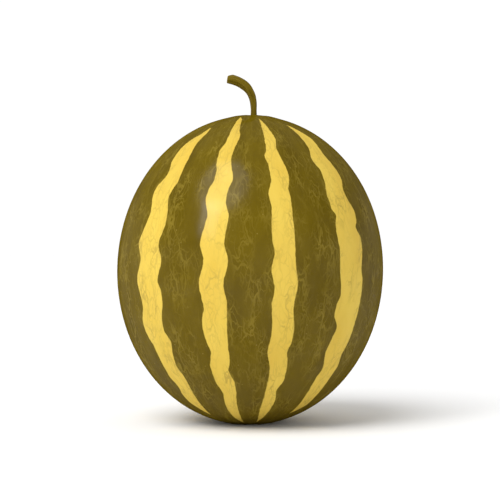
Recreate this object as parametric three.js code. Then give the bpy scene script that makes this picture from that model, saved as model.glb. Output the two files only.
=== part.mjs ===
// Watermelon: one whole ripe fruit with the cut end of its vine's stem, standing upright on the small
// flat spot of its blossom end. Millimetres, +Z up. The origin is the centre of the flat spot, and the
// front is -Y, with +X to the right of it.
//
// The fruit is a solid of revolution, an upright ellipse whose two ends are cut level: below at the
// flat spot that it stands on, and above at the small land that the stem grows from. The stem's foot is
// just right of the fruit's axis. It rises straight, then hooks over to the left, and thickens towards
// the knuckle where it was cut from the vine.
import * as THREE from "three";

// Driving dimensions of the fruit.
const FRUIT_WIDTH = 260; // across the rind at its widest
const FRUIT_HEIGHT = 300; // from the flat spot to the stem land
const REST_RADIUS = 22; // of the flat spot
const LAND_RADIUS = 9; // of the level land under the stem
const FRUIT_FACETS = 48; // round the fruit
const FRUIT_RINGS = 29; // from the flat spot to the land, with one at the widest height
const RIND_OLIVE = 0x705e16;
const RIND_ROUGHNESS = 0.4;

// Driving dimensions of the stem.
const STEM_OFFSET = 3.5; // of its foot from the fruit's axis, to the right
const STEM_GAP = 0.3; // between the land and its foot
const STEM_RISE = 9.8; // of its straight first stretch
const STEM_FACETS = 16; // round it
const STEM_RINGS = 20; // along it
const STEM_OLIVE = 0x6a5a1c;
const STEM_ROUGHNESS = 0.7;

// The ellipse that passes through the rims of the flat spot and of the land.
const halfWidth = FRUIT_WIDTH / 2;
const restAngle = Math.asin(REST_RADIUS / halfWidth);
const landAngle = Math.asin(LAND_RADIUS / halfWidth);
const halfHeight = FRUIT_HEIGHT / (Math.cos(restAngle) + Math.cos(landAngle));
const centreHeight = halfHeight * Math.cos(restAngle);

// A LatheGeometry turns about Y, so the fruit is stood up afterwards to turn about Z.
function makeFruit() {
  const profile = [new THREE.Vector2(0, 0)];
  for (let ring = 0; ring <= FRUIT_RINGS; ring++) {
    const angle = THREE.MathUtils.lerp(restAngle, Math.PI - landAngle, ring / FRUIT_RINGS);
    profile.push(
      new THREE.Vector2(
        halfWidth * Math.sin(angle),
        centreHeight - halfHeight * Math.cos(angle),
      ),
    );
  }
  profile.push(new THREE.Vector2(0, FRUIT_HEIGHT));
  return new THREE.LatheGeometry(profile, FRUIT_FACETS).rotateX(Math.PI / 2);
}

// The stem's middle line, from its foot: straight up, then over to the left until it is almost level.
const stemLine = new THREE.CatmullRomCurve3(
  [
    new THREE.Vector3(0, 0, 0),
    new THREE.Vector3(0.2, 0.5, STEM_RISE),
    new THREE.Vector3(-0.9, 0.3, 17.4),
    new THREE.Vector3(-5.8, 0, 27.2),
    new THREE.Vector3(-14.3, 0.1, 33.6),
    new THREE.Vector3(-25.2, 0.5, 36.7),
  ],
  false,
  "centripetal",
);

// The stem's radius at shares of its length: a flared foot, a slim neck, a thick knuckle, a trimmed end.
const stemRadii = [
  [0, 3.5],
  [0.05, 2.8],
  [0.12, 2.7],
  [0.25, 3],
  [0.4, 3.5],
  [0.6, 4.2],
  [0.8, 4.6],
  [0.95, 4.4],
  [1, 3.4],
];

function stemRadiusAt(share) {
  const next = Math.max(1, stemRadii.findIndex(([at]) => at >= share));
  const [fromShare, fromRadius] = stemRadii[next - 1];
  const [toShare, toRadius] = stemRadii[next];
  return THREE.MathUtils.mapLinear(share, fromShare, toShare, fromRadius, toRadius);
}

// The stem is turned straight and one unit tall, then bent: a ring at height s moves to the middle
// line's point at the share s, and is laid square across the line there.
function makeStem() {
  const profile = [new THREE.Vector2(0, 0)];
  for (let ring = 0; ring <= STEM_RINGS; ring++) {
    const share = ring / STEM_RINGS;
    profile.push(new THREE.Vector2(stemRadiusAt(share), share));
  }
  profile.push(new THREE.Vector2(0, 1));
  const geometry = new THREE.LatheGeometry(profile, STEM_FACETS);
  const position = geometry.getAttribute("position");
  const toTheBack = new THREE.Vector3(0, 1, 0);
  for (let i = 0; i < position.count; i++) {
    const share = position.getY(i);
    const along = stemLine.getTangentAt(share);
    const across = new THREE.Vector3().crossVectors(toTheBack, along).normalize();
    const deep = new THREE.Vector3().crossVectors(along, across);
    const point = stemLine.getPointAt(share);
    point.addScaledVector(across, position.getZ(i));
    point.addScaledVector(deep, position.getX(i));
    position.setXYZ(i, point.x, point.y, point.z);
  }
  return geometry;
}

const fruit = new THREE.Mesh(
  makeFruit(),
  new THREE.MeshStandardMaterial({ color: RIND_OLIVE, roughness: RIND_ROUGHNESS, metalness: 0 }),
);
fruit.name = "fruit";

const stem = new THREE.Mesh(
  makeStem(),
  new THREE.MeshStandardMaterial({ color: STEM_OLIVE, roughness: STEM_ROUGHNESS, metalness: 0 }),
);
stem.name = "stem";
stem.position.set(STEM_OFFSET, 0, FRUIT_HEIGHT + STEM_GAP);

const watermelon = new THREE.Group();
watermelon.add(fruit, stem);

export default watermelon;
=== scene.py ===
import bpy
import numpy as np
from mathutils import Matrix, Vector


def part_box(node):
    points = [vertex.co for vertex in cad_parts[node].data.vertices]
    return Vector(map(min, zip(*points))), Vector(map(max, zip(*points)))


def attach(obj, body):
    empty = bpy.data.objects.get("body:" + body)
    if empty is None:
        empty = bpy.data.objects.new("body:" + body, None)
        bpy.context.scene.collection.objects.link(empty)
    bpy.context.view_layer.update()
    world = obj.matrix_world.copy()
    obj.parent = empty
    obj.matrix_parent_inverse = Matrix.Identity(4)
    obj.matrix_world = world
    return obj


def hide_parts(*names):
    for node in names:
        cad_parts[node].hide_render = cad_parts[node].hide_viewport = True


# A whole ripe watermelon that stands on its blossom end, with a short hooked stem.
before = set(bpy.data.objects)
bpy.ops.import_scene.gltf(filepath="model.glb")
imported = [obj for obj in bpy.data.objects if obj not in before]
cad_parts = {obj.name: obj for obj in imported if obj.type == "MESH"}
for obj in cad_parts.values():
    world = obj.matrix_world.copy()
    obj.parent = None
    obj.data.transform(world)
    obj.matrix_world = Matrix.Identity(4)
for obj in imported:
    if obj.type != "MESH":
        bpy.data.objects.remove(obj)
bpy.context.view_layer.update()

# ---------------------------------------------------------------------------------------------
# The fruit. One round-oval melon, grown in one piece: a hard rind with a thin waxy skin, dark
# with wavy light stripes from the stem end to the blossom end. It is an ellipse turned about its
# upright axis, level where it stands, and sunk and puckered a little where the stem grew.
# ---------------------------------------------------------------------------------------------
MM = 0.001  # sizes below are in millimetres, and a mesh is in metres

fruit_low, fruit_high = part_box("fruit")
HALF_WIDTH = (fruit_high.x - fruit_low.x) / 2 / MM
FRUIT_HEIGHT = (fruit_high.z - fruit_low.z) / MM
REST_RADIUS = 22  # of the flat spot that the fruit stands on
LAND_RADIUS = 9  # of the level land that the stem grows from
STEM_OFFSET = 3.5  # of the stem's foot from the fruit's axis, to the right

rest_angle = np.arcsin(REST_RADIUS / HALF_WIDTH)
land_angle = np.arcsin(LAND_RADIUS / HALF_WIDTH)
half_height = FRUIT_HEIGHT / (np.cos(rest_angle) + np.cos(land_angle))
centre_height = half_height * np.cos(rest_angle)


def eased(knots, at):
    """A curve through the knots (place, value) that never swings past them: a cubic between each
    two, whose slope at a knot is the harmonic mean of the slopes beside it, or 0 at a turn."""
    place, value = np.array(knots, float).T
    step = np.diff(place)
    slope = np.diff(value) / step
    same_way = slope[:-1] * slope[1:] > 0
    both = np.where(same_way, slope[:-1] + slope[1:], 1)
    inner = np.where(same_way, 2 * slope[:-1] * slope[1:] / both, 0)
    tangent = np.concatenate([slope[:1], inner, slope[-1:]])
    at = np.clip(at, place[0], place[-1])
    i = np.clip(np.searchsorted(place, at) - 1, 0, len(step) - 1)
    s = (at - place[i]) / step[i]
    start, end = (1 + 2 * s) * (1 - s) ** 2, s * s * (3 - 2 * s)
    leave, arrive = s * (1 - s) ** 2, s * s * (s - 1)
    return (
        start * value[i]
        + end * value[i + 1]
        + step[i] * (leave * tangent[i] + arrive * tangent[i + 1])
    )


def higher(a, b, blend):
    """The higher of two heights, with the crease between them rounded over the blend height."""
    return np.maximum(a, b) + np.maximum(blend - np.abs(a - b), 0) ** 2 / (4 * blend)


def ramp(value, start, end):
    """0 before start, 1 past end, and an S-shaped cubic between them."""
    s = np.clip((value - start) / (end - start), 0, 1)
    return s * s * (3 - 2 * s)


def bell(value, middle, width):
    """A bell-shaped bump, 1 at the middle and a third of that one width away."""
    return np.exp(-(((value - middle) / width) ** 2))


# The light stripes. Each outline is its left and its right edge from the stem end's tip to the
# blossom end's: how far down the rind, and how far to the right of the stripe's own meridian.
# A point stands wherever an edge swells, narrows or turns.
OUTLINES = {
    "far left": (
        [(58, 6.5), (71, 5), (82, -1.5), (96, -5.5), (110, -4.5), (125, 0.5), (133, -2.5),
         (140, -7.5), (147, -8.5), (166, -4), (183, -9), (195, -13.5), (210, -8.5), (229, -13.5),
         (252, -8), (271, -12.5), (284, -9.5), (292, -5.5), (308, -3.5), (326, -2.5),
         (338, 1), (349, -2), (360, -2.5), (370, 0.5), (385, 5.5)],
        [(58, 6.5), (73, 11.5), (87, 12), (102, 15.5), (122, 18), (135, 19), (143, 16),
         (151, 15), (166, 19), (176, 20), (196, 15), (211, 20), (230, 15.5), (240, 19.5),
         (249, 19.5), (263, 16), (275, 15), (287, 19.5), (299, 17), (311, 15), (327, 17.5),
         (345, 14.5), (360, 11.5), (385, 5.5)],
    ),
    "near left": (
        [(30, -1), (70, -0.5), (88, -1), (101, -4.5), (115, -4.5), (125, -3), (134, -3.5),
         (144, -7.5), (155, -9), (169, -6), (196, -11), (211, -7.5), (231, -12), (255, -8),
         (266, -10.5), (284, -8.5), (296, -5), (310, -7.5), (330, -5.5), (344, -1.5),
         (363, -3), (383, -1.5), (407, 4)],
        [(30, -1), (41, 3), (66, 7), (81, 10.5), (97, 9), (111, 8.5), (127, 12.5), (134, 13.5),
         (145, 11), (155, 10), (171, 14), (194, 11.5), (212, 15.5), (233, 11), (248, 14),
         (266, 13), (287, 12), (306, 11), (316, 9), (330, 12), (343, 11), (362, 8),
         (407, 4)],
    ),
    "near right": (
        [(38, -0.5), (68, -4), (89, -5.5), (101, -7), (108, -9.5), (120, -7.5), (134, -7.5),
         (150, -11.5), (162, -10), (189, -11.5), (204, -9.5), (219, -12.5), (236, -9.5),
         (250, -11.5), (275, -10), (295, -12), (314, -8), (334, -7.5), (362, -7.5), (404, -3)],
        [(38, -0.5), (66, 2.5), (84, 5), (97, 3.5), (114, 6.5), (128, 9.5), (135, 9.5),
         (144, 7.5), (155, 8.5), (184, 9.5), (217, 10), (230, 12), (255, 8.5), (273, 10.5),
         (285, 9.5), (297, 6.5), (310, 8), (328, 7.5), (341, 2.5), (354, 4), (404, -3)],
    ),
    "far right": (
        [(53, -5), (76, -7), (94, -9.5), (112, -16), (123, -13), (137, -15), (151, -18),
         (163, -17.5), (169, -14), (174, -16), (185, -17.5), (201, -16), (219, -16.5),
         (242, -14.5), (252, -18), (261, -18.5), (274, -12.5), (285, -15), (297, -17),
         (318, -11.5), (327, -13.5), (348, -11.5), (365, -8), (383, -5.5)],
        [(53, -5), (67, 1.5), (82, 7), (100, 5), (115, 8.5), (128, 11.5), (145, 7), (156, 10),
         (166, 14.5), (174, 14), (180, 10.5), (190, 16), (200, 17), (219, 14.5), (232, 16.5),
         (258, 14.5), (282, 11.5), (292, 10), (302, 7), (315, 9), (330, 6.5), (351, 5.5),
         (365, 5), (383, -5.5)],
    ),
}
RIND_LENGTH = 442  # from the middle of the stem end to the middle of the blossom end, about


def mirrored(outline):
    """The same stripe with its left and right edges exchanged."""
    left, right = outline
    return [(d, -x) for d, x in right], [(d, -x) for d, x in left]


def upended(outline):
    """The same stripe with its stem end and its blossom end exchanged."""
    return tuple([(RIND_LENGTH - d, x) for d, x in reversed(edge)] for edge in outline)


# Each stripe's meridian, in degrees to the right of the front, and its outline. The back ones
# repeat the front ones, turned about.
STRIPES = [
    (-47.5, OUTLINES["far left"]),
    (-15.5, OUTLINES["near left"]),
    (14, OUTLINES["near right"]),
    (46.5, OUTLINES["far right"]),
    (98, upended(OUTLINES["near left"])),
    (131, mirrored(OUTLINES["near right"])),
    (163, upended(OUTLINES["far right"])),
    (195, mirrored(OUTLINES["far left"])),
    (230, upended(OUTLINES["near right"])),
    (262, mirrored(OUTLINES["near left"])),
]


def inside_stripes(down, turn, radius):
    """How far inside a light stripe each point of the rind lies, and below 0 in the dark bands: the
    shortest of the ways across to the stripe's two edges and along to its two tips, for the stripe
    where that is longest."""
    deepest = np.full(np.broadcast_shapes(down.shape, turn.shape), -np.inf)
    for meridian, (left, right) in STRIPES:
        away = (turn - np.radians(meridian) + np.pi) % (2 * np.pi) - np.pi
        across = away * radius
        inside = np.minimum(across - eased(left, down), eased(right, down) - across)
        before_tip = np.minimum(down - left[0][0], left[-1][0] - down)
        deepest = np.maximum(deepest, np.minimum(inside, before_tip))
    return deepest


def add_skin(name, rings, foot, tip, along):
    """A closed skin through rings of points laid from foot to tip, each turning the same way:
    four-sided faces between the rings and a fan on the foot and on the tip. Its flat map has the
    share of the turn across and the share along up."""
    rows, columns = rings.shape[:2]
    points = np.vstack([rings.reshape(-1, 3), [foot], [tip]]) * MM
    here = np.arange(columns)
    after = (here + 1) % columns
    row = np.arange(rows - 1)[:, None] * columns
    quads = np.stack([row + here, row + after, row + columns + after, row + columns + here], -1)
    foot_point, tip_point = rows * columns, rows * columns + 1
    top_row = (rows - 1) * columns
    foot_fan = np.stack([after, here, np.full(columns, foot_point)], -1)
    tip_fan = np.stack([top_row + here, top_row + after, np.full(columns, tip_point)], -1)
    faces = quads.reshape(-1, 4).tolist() + foot_fan.tolist() + tip_fan.tolist()
    mesh = bpy.data.meshes.new(name)
    mesh.from_pydata(points.tolist(), [], faces)

    start, end = here / columns, (here + 1) / columns
    low, high = along[:-1, None], along[1:, None]
    across = np.broadcast_to(np.stack([start, end, end, start], -1), (rows - 1, columns, 4))
    up = np.broadcast_to(np.stack([low, low, high, high], -1), (rows - 1, columns, 4))
    foot_map = np.stack([end, np.full(columns, along[0]), start, np.full(columns, along[0]),
                         (start + end) / 2, np.zeros(columns)], -1)
    tip_map = np.stack([start, np.full(columns, along[-1]), end, np.full(columns, along[-1]),
                        (start + end) / 2, np.ones(columns)], -1)
    flat_map = mesh.uv_layers.new(name="OFBake")
    corners = [np.stack([across, up], -1).ravel(), foot_map.ravel(), tip_map.ravel()]
    flat_map.data.foreach_set("uv", np.concatenate(corners))
    mesh.polygons.foreach_set("use_smooth", np.ones(len(mesh.polygons), bool))
    mesh.update()
    piece = bpy.data.objects.new(name, mesh)
    bpy.context.scene.collection.objects.link(piece)
    return piece


def add_field(piece, name, rings, foot, tip):
    """Stores one number, or one vector, for each point of a skin, for its material to read."""
    rings = np.asarray(rings, float)
    vector = rings.ndim == 3
    flat = rings.reshape(-1, 3) if vector else rings.reshape(-1, 1)
    values = np.vstack([flat, np.reshape(foot, (1, -1)), np.reshape(tip, (1, -1))])
    kind = "FLOAT_VECTOR" if vector else "FLOAT"
    field = piece.data.attributes.new(name, kind, "POINT")
    field.data.foreach_set("vector" if vector else "value", values.ravel())


FRUIT_COLUMNS = 400  # round the fruit, 2 mm apart at its widest
FRUIT_RINGS = 239  # from the blossom end to the stem end, 2 mm apart
EDGE_BLEND = 0.8  # over which the flat spot's rim is rounded
LOBE_HEIGHT = 0.45  # of the broad lobes that a melon grows with
LEAN = 0.6  # that its upper right and lower left swell, and the other two corners draw in
SHOULDERS = 0.45  # that it is fuller than the ellipse between its middle and its ends
FURROW_DEPTH = 0.25  # of the light stripes below the dark bands
FURROW_SLOPE = 5  # either side of a stripe's edge, over which the rind goes down to it
DIMPLE_DEPTH = 1.8  # of the rind round the stem's foot
DIMPLE_RADIUS = 9
LIP_HEIGHT = 0.65  # of the rind just outside the dimple
LIP_RADIUS = 17
LIP_WIDTH = 7
PUCKER_FOLDS = 9  # that run out from the stem's foot
PUCKER_HEIGHT = 0.4
PUCKER_RADIUS = 9  # where they stand highest
PUCKER_WIDTH = 6
SCAR_RADIUS = 4.5  # of the dry scar where the flower fell off
SCAR_DEPTH = 1.2
GROOVE_DEPTH = 0.35  # of the ring pressed in round the scar
GROOVE_WIDTH = 2

turn = np.linspace(-np.pi, np.pi, FRUIT_COLUMNS, endpoint=False)[None, :]  # 0 is the front
rise = np.linspace(0, np.pi, FRUIT_RINGS + 2)[1:-1, None]  # 0 is the blossom end
radius = HALF_WIDTH * np.sin(rise)
height = centre_height - half_height * np.cos(rise)
steps = np.hypot(np.diff(radius, axis=0), np.diff(height, axis=0))
up_the_rind = np.vstack([radius[:1], radius[:1] + np.cumsum(steps, axis=0)])
rind_length = up_the_rind[-1] + radius[-1]
down_the_rind = rind_length - up_the_rind
stripe_mm = inside_stripes(down_the_rind, turn, radius)


def melon_surface(turn, rise):
    """The ellipse, moved along its own slant: out and in by sine waves round it, the broad lobes,
    and by the lean, out at the shoulders, and in by the stripes' furrows. Its foot is levelled at
    the floor, with a dry scar and a groove pushed up in the middle. Its top is sunk in a bell round
    the stem's foot, with a low lip and folds that run out from it."""
    slant = np.stack([np.sin(rise) / HALF_WIDTH, -np.cos(rise) / half_height])
    slant = slant / np.linalg.norm(slant, axis=0)
    lobes = np.sin(5 * turn + 0.8) + 0.6 * np.sin(8 * turn + 2 * rise) + 0.5 * np.sin(3 * turn - 4 * rise)
    furrows = ramp(stripe_mm, -FURROW_SLOPE, FURROW_SLOPE)
    ends = np.sin(rise) ** 2
    out = LOBE_HEIGHT * lobes * ends / 2 - FURROW_DEPTH * furrows * ends
    out = out - LEAN * np.sin(turn) * np.sin(2 * rise) + SHOULDERS * np.sin(2 * rise) ** 2
    r = radius + out * slant[0]
    z = height + out * slant[1]
    x, y = r * np.sin(turn), -r * np.cos(turn)

    from_stem = np.hypot(x - STEM_OFFSET, y)
    round_stem = np.arctan2(y, x - STEM_OFFSET)
    folds = np.cos(PUCKER_FOLDS * round_stem + 0.4 * np.sin(2 * round_stem))
    sunk = (
        -DIMPLE_DEPTH * bell(from_stem, 0, DIMPLE_RADIUS)
        + LIP_HEIGHT * bell(from_stem, LIP_RADIUS, LIP_WIDTH)
        + PUCKER_HEIGHT * folds * bell(from_stem, PUCKER_RADIUS, PUCKER_WIDTH)
    )
    z = z + np.where(rise > np.pi / 2, sunk, 0)

    groove = GROOVE_DEPTH * bell(r, 2 * SCAR_RADIUS, GROOVE_WIDTH)
    scar = SCAR_DEPTH * (1 - ramp(r, 0.6 * SCAR_RADIUS, 1.3 * SCAR_RADIUS))
    level = np.where(rise < np.pi / 2, scar + groove, 0)
    z = higher(z, 0, EDGE_BLEND) + level
    return np.stack(np.broadcast_arrays(x, y, z), -1)


rings = melon_surface(turn, rise)
blossom_end = (0, 0, SCAR_DEPTH)
stem_end = (0, 0, rings[-1, :, 2].mean())
fruit = add_skin("striped_rind", rings, blossom_end, stem_end, (up_the_rind / rind_length)[:, 0])
add_field(fruit, "stripe_mm", stripe_mm, -RIND_LENGTH, -RIND_LENGTH)  # both ends are in the dark

# The grain follows the rind's growth: round the fruit and down its length, so that what is drawn
# in it runs from end to end and draws together at both.
grain = np.stack(
    np.broadcast_arrays(HALF_WIDTH * np.sin(turn), -HALF_WIDTH * np.cos(turn), down_the_rind), -1
)
add_field(fruit, "rind_grain_mm", grain, (0, 0, rind_length[0]), (0, 0, 0))

# Dry cork shows in a ring round the stem's foot, and where the flower was.
CORK_RING = 4  # from the middle of the stem's foot
CORK_WIDTH = 2.2

from_stem = np.hypot(rings[..., 0] - STEM_OFFSET, rings[..., 1])
stem_ring = bell(from_stem, CORK_RING, CORK_WIDTH) * (rings[..., 2] > centre_height)
flower_scar = (1 - ramp(radius, SCAR_RADIUS, 1.6 * SCAR_RADIUS)) * (rise < np.pi / 2)
add_field(fruit, "corky", np.maximum(stem_ring, flower_scar), 1, 0)


def linear(hex_colour):
    """An sRGB hex colour as the linear red, green, blue and solid alpha that a shader takes."""
    srgb = np.array([int(hex_colour[i : i + 2], 16) for i in (1, 3, 5)]) / 255
    rgb = np.where(srgb <= 0.04045, srgb / 12.92, ((srgb + 0.055) / 1.055) ** 2.4)
    return (*rgb.tolist(), 1.0)


def add_node(material, kind, inputs=None, **settings):
    """Adds one node with its settings. An input is given by name or number, and takes a value, or
    another node's output, which is linked to it."""
    node = material.node_tree.nodes.new(kind)
    for name, value in settings.items():
        setattr(node, name, value)
    for key, value in (inputs or {}).items():
        if isinstance(value, bpy.types.NodeSocket):
            material.node_tree.links.new(value, node.inputs[key])
        else:
            node.inputs[key].default_value = value
    return node


def new_material(name):
    """An empty material with its Principled shader and output linked, and the shader itself."""
    material = bpy.data.materials.new(name)
    material.use_nodes = True
    material.node_tree.nodes.clear()
    shader = add_node(material, "ShaderNodeBsdfPrincipled")
    add_node(material, "ShaderNodeOutputMaterial", {"Surface": shader.outputs["BSDF"]})
    return material, shader


# Melon rind: a hard, tight skin under a thin natural wax. The wax has all of the shine, a soft
# gloss that pores and shallow ripples break up, and the colour lies just below it: an even ground,
# cloudy along the fruit, with a net of paler veins in the dark bands, and the same net darker in
# the light stripes.
DARK = "#635205"
DARK_CLOUD = "#574702"
DARK_VEIN = "#7B691E"
LIGHT = "#D8BA4F"
LIGHT_CLOUD = "#D1B046"
LIGHT_VEIN = "#B69B42"
CORK = "#8A744A"
FRECKLE = "#8F7D36"
EDGE_SOFTNESS = 0.4  # either side of a stripe's edge
EDGE_RAGGEDNESS = 0.9  # that the edge wanders, out and in
EDGE_NICK = 3  # of the nicks that it wanders in
GRAIN_PACE = 0.45  # of a pattern down the fruit, to 1 round it, which draws it out to twice as long
CLOUD_SIZE = 30  # of the ground's cloudy patches
VEIN_CELL = 13  # across a mesh of the net
VEIN_WIDTH = 0.9  # real veins are half as wide: drawn coarser, to show
VEIN_WARP = 9  # that the net is pulled out of shape
WARP_SIZE = 11  # from one such pull to the next
FINE_MESHES = 2.3  # of a finer net across one mesh of the net
FINE_VEIN = 1.6  # times the share of its mesh that a vein of the net takes
FINE_STRENGTH = 0.6  # of the finer net's colour, to the net's 1
VEIN_PATCH = 16  # of both nets, stronger and fainter
FRECKLE_SPACING = 9
FRECKLE_SIZE = 0.8
FRECKLE_STRENGTH = 0.8
PORE_SIZE = 2.2  # real pores are under 0.5 mm: drawn coarser, to show
PORE_DEPTH = 0.03
RIPPLE_SIZE = 14
RIPPLE_DEPTH = 0.1
WAX_PATCH = 18  # of the wax, thicker and thinner
WAX_COAT = (0.32, 0.19)  # its weight, thick and thin
RIND_ROUGHNESS = (0.3, 0.42)  # under thick wax and thin
WAX_ROUGHNESS = 0.18
WAX_FADE = (0.45, 0.9)  # where its shine starts to fade and is gone, from 0 face-on to 1 edge-on

rind, shader = new_material("waxy_melon_rind")
stripe = add_node(rind, "ShaderNodeAttribute", attribute_name="stripe_mm").outputs["Fac"]
grain = add_node(rind, "ShaderNodeAttribute", attribute_name="rind_grain_mm").outputs["Vector"]
corky = add_node(rind, "ShaderNodeAttribute", attribute_name="corky").outputs["Fac"]
place = add_node(rind, "ShaderNodeTexCoord").outputs["Object"]
drawn_out = add_node(
    rind, "ShaderNodeMapping", {"Vector": grain, "Scale": (1, 1, GRAIN_PACE)}
).outputs["Vector"]

# The stripes: their edges wander a little, out and in.
wander = add_node(
    rind, "ShaderNodeTexNoise", {"Vector": drawn_out, "Scale": 1 / EDGE_NICK, "Detail": 3}
).outputs["Fac"]
wander = add_node(
    rind,
    "ShaderNodeMapRange",
    {"Value": wander, "To Min": -EDGE_RAGGEDNESS, "To Max": EDGE_RAGGEDNESS},
).outputs["Result"]
edge = add_node(rind, "ShaderNodeMath", {0: stripe, 1: wander}, operation="ADD").outputs[0]
in_light = add_node(
    rind,
    "ShaderNodeMapRange",
    {"Value": edge, "From Min": -EDGE_SOFTNESS, "From Max": EDGE_SOFTNESS},
    interpolation_type="SMOOTHSTEP",
).outputs["Result"]

# The ground's clouds. A noise lies mostly between 0.3 and 0.7, so a narrower range, here and below,
# leaves some places without the clouds or the net and gives others all of them.
cloud = add_node(
    rind,
    "ShaderNodeTexNoise",
    {"Vector": drawn_out, "Scale": 1 / CLOUD_SIZE, "Detail": 6, "Roughness": 0.6},
).outputs["Fac"]
cloud = add_node(
    rind, "ShaderNodeMapRange", {"Value": cloud, "From Min": 0.38, "From Max": 0.66}
).outputs["Result"]

# The net: the walls between cells, pulled out of shape, with a finer net inside it, and both
# fainter in places.
warp = add_node(
    rind, "ShaderNodeTexNoise", {"Vector": drawn_out, "Scale": 1 / WARP_SIZE, "Detail": 3}
).outputs["Color"]
warp = add_node(
    rind, "ShaderNodeVectorMath", {0: warp, 1: (0.5, 0.5, 0.5)}, operation="SUBTRACT"
).outputs[0]
warp = add_node(
    rind, "ShaderNodeVectorMath", {0: warp, "Scale": 2 * VEIN_WARP}, operation="SCALE"
).outputs[0]
pulled = add_node(
    rind, "ShaderNodeVectorMath", {0: drawn_out, 1: warp}, operation="ADD"
).outputs[0]
wall = add_node(
    rind,
    "ShaderNodeTexVoronoi",
    {"Vector": pulled, "Scale": 1 / VEIN_CELL},
    feature="DISTANCE_TO_EDGE",
).outputs["Distance"]
vein = add_node(
    rind,
    "ShaderNodeMapRange",
    {"Value": wall, "From Max": VEIN_WIDTH / VEIN_CELL, "To Min": 1, "To Max": 0},
    interpolation_type="SMOOTHSTEP",
).outputs["Result"]
fine_wall = add_node(
    rind,
    "ShaderNodeTexVoronoi",
    {"Vector": pulled, "Scale": FINE_MESHES / VEIN_CELL},
    feature="DISTANCE_TO_EDGE",
).outputs["Distance"]
fine_vein = add_node(
    rind,
    "ShaderNodeMapRange",
    {
        "Value": fine_wall,
        "From Max": FINE_VEIN * VEIN_WIDTH / VEIN_CELL,
        "To Min": FINE_STRENGTH,
        "To Max": 0,
    },
    interpolation_type="SMOOTHSTEP",
).outputs["Result"]
vein = add_node(rind, "ShaderNodeMath", {0: vein, 1: fine_vein}, operation="MAXIMUM").outputs[0]
strength = add_node(
    rind, "ShaderNodeTexNoise", {"Vector": drawn_out, "Scale": 1 / VEIN_PATCH, "Detail": 2}
).outputs["Fac"]
strength = add_node(
    rind, "ShaderNodeMapRange", {"Value": strength, "From Min": 0.36, "From Max": 0.66}
).outputs["Result"]
vein = add_node(rind, "ShaderNodeMath", {0: vein, 1: strength}, operation="MULTIPLY").outputs[0]

# Freckles: small pale corky dots, scattered evenly over the dark bands.
freckle = add_node(
    rind, "ShaderNodeTexVoronoi", {"Vector": place, "Scale": 1 / (FRECKLE_SPACING * MM)}
).outputs["Distance"]
freckle = add_node(
    rind,
    "ShaderNodeMapRange",
    {
        "Value": freckle,
        "From Max": FRECKLE_SIZE / FRECKLE_SPACING,
        "To Min": FRECKLE_STRENGTH,
        "To Max": 0,
    },
).outputs["Result"]

# The colours are laid over each other. A colour mix takes its share at input 0, the colour below at
# 6 and the one laid on it at 7.
dark = add_node(
    rind, "ShaderNodeMix", {0: cloud, 6: linear(DARK), 7: linear(DARK_CLOUD)}, data_type="RGBA"
).outputs[2]
dark = add_node(
    rind, "ShaderNodeMix", {0: vein, 6: dark, 7: linear(DARK_VEIN)}, data_type="RGBA"
).outputs[2]
dark = add_node(
    rind, "ShaderNodeMix", {0: freckle, 6: dark, 7: linear(FRECKLE)}, data_type="RGBA"
).outputs[2]
light = add_node(
    rind, "ShaderNodeMix", {0: cloud, 6: linear(LIGHT), 7: linear(LIGHT_CLOUD)}, data_type="RGBA"
).outputs[2]
light = add_node(
    rind, "ShaderNodeMix", {0: vein, 6: light, 7: linear(LIGHT_VEIN)}, data_type="RGBA"
).outputs[2]
skin = add_node(rind, "ShaderNodeMix", {0: in_light, 6: dark, 7: light}, data_type="RGBA").outputs[2]
skin = add_node(
    rind, "ShaderNodeMix", {0: corky, 6: skin, 7: linear(CORK)}, data_type="RGBA"
).outputs[2]

# The wax: thicker and thinner in patches, and its fine bloom dulls it where the rind turns away.
wax = add_node(
    rind, "ShaderNodeTexNoise", {"Vector": place, "Scale": 1 / (WAX_PATCH * MM), "Detail": 4}
).outputs["Fac"]
wax_coat = add_node(
    rind,
    "ShaderNodeMapRange",
    {"Value": wax, "From Min": 0.3, "From Max": 0.7, "To Min": WAX_COAT[0], "To Max": WAX_COAT[1]},
).outputs["Result"]
turned_away = add_node(rind, "ShaderNodeLayerWeight", {"Blend": 0.5}).outputs["Facing"]
dulled = add_node(
    rind,
    "ShaderNodeMapRange",
    {"Value": turned_away, "From Min": WAX_FADE[0], "From Max": WAX_FADE[1], "To Min": 1, "To Max": 0},
).outputs["Result"]
wax_coat = add_node(rind, "ShaderNodeMath", {0: wax_coat, 1: dulled}, operation="MULTIPLY").outputs[0]
roughness = add_node(
    rind,
    "ShaderNodeMapRange",
    {
        "Value": wax,
        "From Min": 0.3,
        "From Max": 0.7,
        "To Min": RIND_ROUGHNESS[0],
        "To Max": RIND_ROUGHNESS[1],
    },
).outputs["Result"]

# The relief: fine pores on shallow ripples that run along the fruit, in the skin and its wax alike.
pores = add_node(
    rind, "ShaderNodeTexNoise", {"Vector": place, "Scale": 1 / (PORE_SIZE * MM), "Detail": 2}
).outputs["Fac"]
ripple = add_node(
    rind, "ShaderNodeTexNoise", {"Vector": drawn_out, "Scale": 1 / RIPPLE_SIZE, "Detail": 2}
).outputs["Fac"]
rippled = add_node(
    rind, "ShaderNodeBump", {"Height": ripple, "Distance": RIPPLE_DEPTH * MM}
).outputs["Normal"]
pored = add_node(
    rind, "ShaderNodeBump", {"Height": pores, "Distance": PORE_DEPTH * MM, "Normal": rippled}
).outputs["Normal"]

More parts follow.
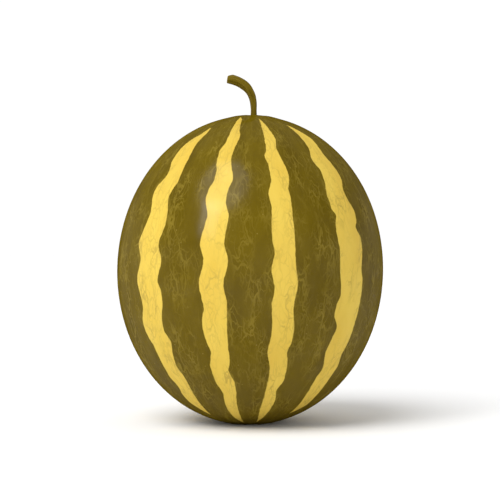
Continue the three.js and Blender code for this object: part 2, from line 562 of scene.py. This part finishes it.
rind.node_tree.links.new(skin, shader.inputs["Base Color"])
rind.node_tree.links.new(roughness, shader.inputs["Roughness"])
rind.node_tree.links.new(pored, shader.inputs["Normal"])
rind.node_tree.links.new(wax_coat, shader.inputs["Coat Weight"])
rind.node_tree.links.new(pored, shader.inputs["Coat Normal"])
shader.inputs["Coat Roughness"].default_value = WAX_ROUGHNESS
shader.inputs["Specular IOR Level"].default_value = 0.0
fruit.data.materials.append(rind)
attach(fruit, "root")
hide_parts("fruit")

# ---------------------------------------------------------------------------------------------
# The stem. The last 50 mm of the vine's stalk, dried hard: a ribbed, fibrous rod that flares into
# the rind at its foot, hooks over to the left, and thickens to the knuckle where it was cut.
# ---------------------------------------------------------------------------------------------
STEM_SUNK = 3  # of the foot below the fruit's top, in the dimple
# The points that steer the stem's curve, from its foot to the cut.
STEM_LINE = np.array(
    [(0, 0, -STEM_SUNK), (-0.9, 1.5, 3.6), (6.9, -1, 32.2), (-25.2, 0.5, 37)]
) + (STEM_OFFSET, 0, FRUIT_HEIGHT)
STEM_LENGTH = 54  # along its middle, with the sunk foot
# The share of the way from foot to cut, and there the radius, or what is trimmed off the upper side.
STEM_RADII = [(0, 5.5), (0.06, 3.8), (0.13, 2.95), (0.3, 2.9), (0.47, 3.3), (0.68, 4.1), (0.87, 4.65),
              (0.96, 4.6), (1, 4.4)]
CUT_SLANT = [(0, 0), (0.95, 0), (1, 0.8)]
STEM_RIBS = 5
RIB_HEIGHT = 0.07  # as a share of the radius
RIB_TWIST = 0.9  # radians over the whole length
STEM_COLUMNS = 96
STEM_RINGS = 150
# The cut face, from its rim to its middle: the share of the knuckle's radius and the lift past it.
CUT_FACE = np.array([(0.98, 0.25), (0.93, 0.45), (0.86, 0.5), (0.76, 0.42), (0.66, 0.5),
                     (0.54, 0.46), (0.4, 0.35), (0.25, 0.15), (0.12, -0.1)])
PITH_SUNK = 0.25  # of the very middle, which shrinks as it dries
BUNDLES = 10  # of vessels, in a ring round the pith
BUNDLE_HEIGHT = 0.12
BUNDLE_RING = 0.7  # of the knuckle's radius
BUNDLE_WIDTH = 0.12  # the same


def stem_surface(turn, share):
    """A cubic Bezier along the stem's middle, with a ring square across it at each share of the way.
    A ring's radius comes from the radii above, and swells by cosines round it at the ribs, which
    twist along, and by slower sines that make it uneven. Near the cut the upper side is trimmed:
    the radius shrinks, and the middle moves down by as much. Gives the rings, the middle line and
    the way ahead along it."""
    s = share
    p = STEM_LINE
    line = (1 - s) ** 3 * p[0] + 3 * (1 - s) ** 2 * s * p[1] + 3 * (1 - s) * s**2 * p[2] + s**3 * p[3]
    ahead = (1 - s) ** 2 * (p[1] - p[0]) + 2 * (1 - s) * s * (p[2] - p[1]) + s**2 * (p[3] - p[2])
    ahead = ahead / np.linalg.norm(ahead, axis=-1, keepdims=True)
    across = np.cross((0, 1, 0), ahead)
    across = across / np.linalg.norm(across, axis=-1, keepdims=True)
    deep = np.cross(ahead, across)
    swell = np.cos(STEM_RIBS * (turn - RIB_TWIST * s)) + 0.35 * np.cos(2 * STEM_RIBS * turn + 7 * s)
    wave = 0.25 * np.sin(3 * turn + 14 * s) + 0.2 * np.sin(2 * turn - 31 * s)
    trimmed = eased(CUT_SLANT, s)
    line = line - trimmed * across
    r = (eased(STEM_RADII, s) - trimmed) * (1 + RIB_HEIGHT * (swell + wave))
    round_line = np.cos(turn)[..., None] * across[:, None] + np.sin(turn)[..., None] * deep[:, None]
    return line[:, None] + r[..., None] * round_line, line, ahead


stem_turn = np.linspace(-np.pi, np.pi, STEM_COLUMNS, endpoint=False)[None, :]
stem_share = np.linspace(0, 1, STEM_RINGS)[:, None]
body, line, ahead = stem_surface(stem_turn, stem_share)
rim = body[-1] - line[-1]
in_ring = BUNDLE_HEIGHT * bell(CUT_FACE[:, 0], BUNDLE_RING, BUNDLE_WIDTH)
bundles = np.cos(BUNDLES * stem_turn)[..., None] * in_ring[:, None, None]
face = (
    line[-1]
    + CUT_FACE[:, 0][:, None, None] * rim
    + (CUT_FACE[:, 1][:, None, None] + bundles) * ahead[-1]
)
rings = np.concatenate([body, face])
tip = line[-1] - PITH_SUNK * ahead[-1]
rows = len(rings)
stem = add_skin("ribbed_stem", rings, line[0], tip, np.linspace(0.01, 0.99, rows))

# The grain runs round and along the stem, at its mean radius, and in over the cut.
MEAN_RADIUS = 4

outward = np.concatenate([np.ones(STEM_RINGS), CUT_FACE[:, 0]])[:, None]
along = np.concatenate([stem_share, np.ones((len(CUT_FACE), 1))])
grain_radius = MEAN_RADIUS * outward
stem_grain = np.stack(
    np.broadcast_arrays(
        grain_radius * np.cos(stem_turn), grain_radius * np.sin(stem_turn), STEM_LENGTH * along
    ),
    -1,
)
add_field(stem, "stem_grain_mm", stem_grain, (0, 0, 0), (0, 0, STEM_LENGTH))
add_field(stem, "share_out", np.repeat(outward, STEM_COLUMNS, axis=1), 1, 0)

# Dried vine: a matt, fibrous skin with darker furrows and paler fibres that run along it.
STEM_SKIN = "#665508"
STEM_FURROW = "#534404"
STEM_FIBRE = "#786628"
FIBRE_WIDTH = 0.9  # drawn three times as wide as it is, to show
FIBRE_DEPTH = 0.15
FIBRE_PACE = 0.08  # of the fibres along the stem, to 1 round it, which draws them out
SKIN_PATCH = 5  # of the skin, smoother and rougher
SKIN_ROUGHNESS = (0.58, 0.74)

vine, shader = new_material("dried_vine_skin")
grain = add_node(vine, "ShaderNodeAttribute", attribute_name="stem_grain_mm").outputs["Vector"]
fibres = add_node(
    vine, "ShaderNodeMapping", {"Vector": grain, "Scale": (1, 1, FIBRE_PACE)}
).outputs["Vector"]
fibre = add_node(
    vine, "ShaderNodeTexNoise", {"Vector": fibres, "Scale": 1 / FIBRE_WIDTH, "Detail": 3}
).outputs["Fac"]
patch = add_node(
    vine, "ShaderNodeTexNoise", {"Vector": grain, "Scale": 1 / SKIN_PATCH, "Detail": 3}
).outputs["Fac"]
furrow = add_node(
    vine, "ShaderNodeMapRange", {"Value": fibre, "From Min": 0.5, "From Max": 0.32}
).outputs["Result"]
pale = add_node(
    vine, "ShaderNodeMapRange", {"Value": fibre, "From Min": 0.55, "From Max": 0.75, "To Max": 0.7}
).outputs["Result"]
colour = add_node(
    vine, "ShaderNodeMix", {0: furrow, 6: linear(STEM_SKIN), 7: linear(STEM_FURROW)}, data_type="RGBA"
).outputs[2]
colour = add_node(
    vine, "ShaderNodeMix", {0: pale, 6: colour, 7: linear(STEM_FIBRE)}, data_type="RGBA"
).outputs[2]
roughness = add_node(
    vine,
    "ShaderNodeMapRange",
    {
        "Value": patch,
        "From Min": 0.3,
        "From Max": 0.7,
        "To Min": SKIN_ROUGHNESS[0],
        "To Max": SKIN_ROUGHNESS[1],
    },
).outputs["Result"]
relief = add_node(
    vine, "ShaderNodeBump", {"Height": fibre, "Distance": FIBRE_DEPTH * MM}
).outputs["Normal"]
vine.node_tree.links.new(colour, shader.inputs["Base Color"])
vine.node_tree.links.new(roughness, shader.inputs["Roughness"])
vine.node_tree.links.new(relief, shader.inputs["Normal"])
shader.inputs["Specular IOR Level"].default_value = 0.08
stem.data.materials.append(vine)

# The cut end: dry end grain, paler than the skin, with a ring of vessels round a soft pith.
CUT_WOOD = "#A08A52"
CUT_VESSEL = "#6E5C2C"
CUT_PITH = "#BCA872"
PITH_EDGE = (0.5, 0.2)  # of the knuckle's radius, where the pith starts and where all is pith
VESSEL_SIZE = 0.7  # real vessels are half as wide: drawn coarser, to show
VESSEL_DEPTH = 0.1

cut, shader = new_material("dry_end_grain")
out = add_node(cut, "ShaderNodeAttribute", attribute_name="share_out").outputs["Fac"]
grain = add_node(cut, "ShaderNodeAttribute", attribute_name="stem_grain_mm").outputs["Vector"]
pith = add_node(
    cut, "ShaderNodeMapRange", {"Value": out, "From Min": PITH_EDGE[0], "From Max": PITH_EDGE[1]}
).outputs["Result"]
vessel = add_node(
    cut, "ShaderNodeTexVoronoi", {"Vector": grain, "Scale": 1 / VESSEL_SIZE}
).outputs["Distance"]
vessel = add_node(
    cut, "ShaderNodeMapRange", {"Value": vessel, "From Min": 0.45, "From Max": 0.15, "To Max": 0.8}
).outputs["Result"]
colour = add_node(
    cut, "ShaderNodeMix", {0: vessel, 6: linear(CUT_WOOD), 7: linear(CUT_VESSEL)}, data_type="RGBA"
).outputs[2]
colour = add_node(
    cut, "ShaderNodeMix", {0: pith, 6: colour, 7: linear(CUT_PITH)}, data_type="RGBA"
).outputs[2]
relief = add_node(
    cut, "ShaderNodeBump", {"Height": vessel, "Distance": -VESSEL_DEPTH * MM}
).outputs["Normal"]
cut.node_tree.links.new(colour, shader.inputs["Base Color"])
cut.node_tree.links.new(relief, shader.inputs["Normal"])
shader.inputs["Roughness"].default_value = 0.8
shader.inputs["Specular IOR Level"].default_value = 0.2
stem.data.materials.append(cut)

# The skin covers the rod and its foot. The faces of the cut, and the fan in its middle, are wood.
finish = np.zeros(len(stem.data.polygons), np.int32)
finish[STEM_RINGS * STEM_COLUMNS : (rows - 1) * STEM_COLUMNS] = 1
finish[-STEM_COLUMNS:] = 1
stem.data.polygons.foreach_set("material_index", finish)
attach(stem, "root")
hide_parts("stem")

# ---------------------------------------------------------------------------------------------
# The floor, the light and the camera. A pale seamless floor in an even white room, with a broad
# key light from the upper left for the form and a soft box beside it for the gloss, seen level
# from the front.
# ---------------------------------------------------------------------------------------------
FLOOR_REACH = 40.0  # metres each way

floor_mesh = bpy.data.meshes.new("studio_floor")
corners = FLOOR_REACH * np.array([(-1, -1, 0), (1, -1, 0), (1, 1, 0), (-1, 1, 0)])
floor_mesh.from_pydata(corners.tolist(), [], [(0, 1, 2, 3)])
floor = bpy.data.objects.new("studio_floor", floor_mesh)
bpy.context.scene.collection.objects.link(floor)
paper, shader = new_material("matt_white_paper")
shader.inputs["Base Color"].default_value = linear("#FDFDFD")
shader.inputs["Roughness"].default_value = 0.9
shader.inputs["Specular IOR Level"].default_value = 0.0
floor_mesh.materials.append(paper)

scene = bpy.context.scene
scene.view_settings.view_transform = "Standard"
# The room is white where the walls meet the floor, and dimmer overhead.
room = bpy.data.worlds.new("white_room")
room.use_nodes = True
scene.world = room
way = add_node(room, "ShaderNodeTexCoord").outputs["Generated"]
upward = add_node(room, "ShaderNodeSeparateXYZ", {0: way}).outputs["Z"]
glow = add_node(
    room,
    "ShaderNodeMapRange",
    {"Value": upward, "From Min": 0.17, "From Max": 0.4, "To Min": 1.04, "To Max": 0.58},
    interpolation_type="SMOOTHSTEP",
).outputs["Result"]
room.node_tree.links.new(glow, room.node_tree.nodes["Background"].inputs["Strength"])
room.node_tree.nodes["Background"].inputs["Color"].default_value = (1, 1, 1, 1)

# The key light shines from the front left, 36 degrees off straight down, as broad as a large window.
key_light = bpy.data.lights.new("key", "SUN")
key_light.energy = 1.75
key_light.angle = np.radians(40)
key = bpy.data.objects.new("key", key_light)
key.rotation_euler = (np.radians(36), 0, np.radians(-38))
scene.collection.objects.link(key)

# The soft box stands at the front left, higher than the fruit, and leans down to face its shoulder.
box_light = bpy.data.lights.new("soft_box", "AREA")
box_light.shape = "RECTANGLE"
box_light.size = 0.35
box_light.size_y = 0.55
box_light.energy = 4
soft_box = bpy.data.objects.new("soft_box", box_light)
soft_box.location = (-0.75, -0.95, 0.85)
soft_box.rotation_euler = (np.radians(60), 0, np.radians(-38.3))
scene.collection.objects.link(soft_box)

CAMERA_DISTANCE = 1.3645  # metres from the fruit's axis
CAMERA_RISE = 0.0196  # metres above the fruit's middle

camera_data = bpy.data.cameras.new("camera")
camera_data.lens = 100
camera_data.sensor_width = 36
camera_data.clip_end = 50
camera = bpy.data.objects.new("camera", camera_data)
camera.location = (0, -CAMERA_DISTANCE, centre_height * MM + CAMERA_RISE)
camera.rotation_euler = (np.radians(90), 0, 0)
scene.collection.objects.link(camera)
scene.camera = camera
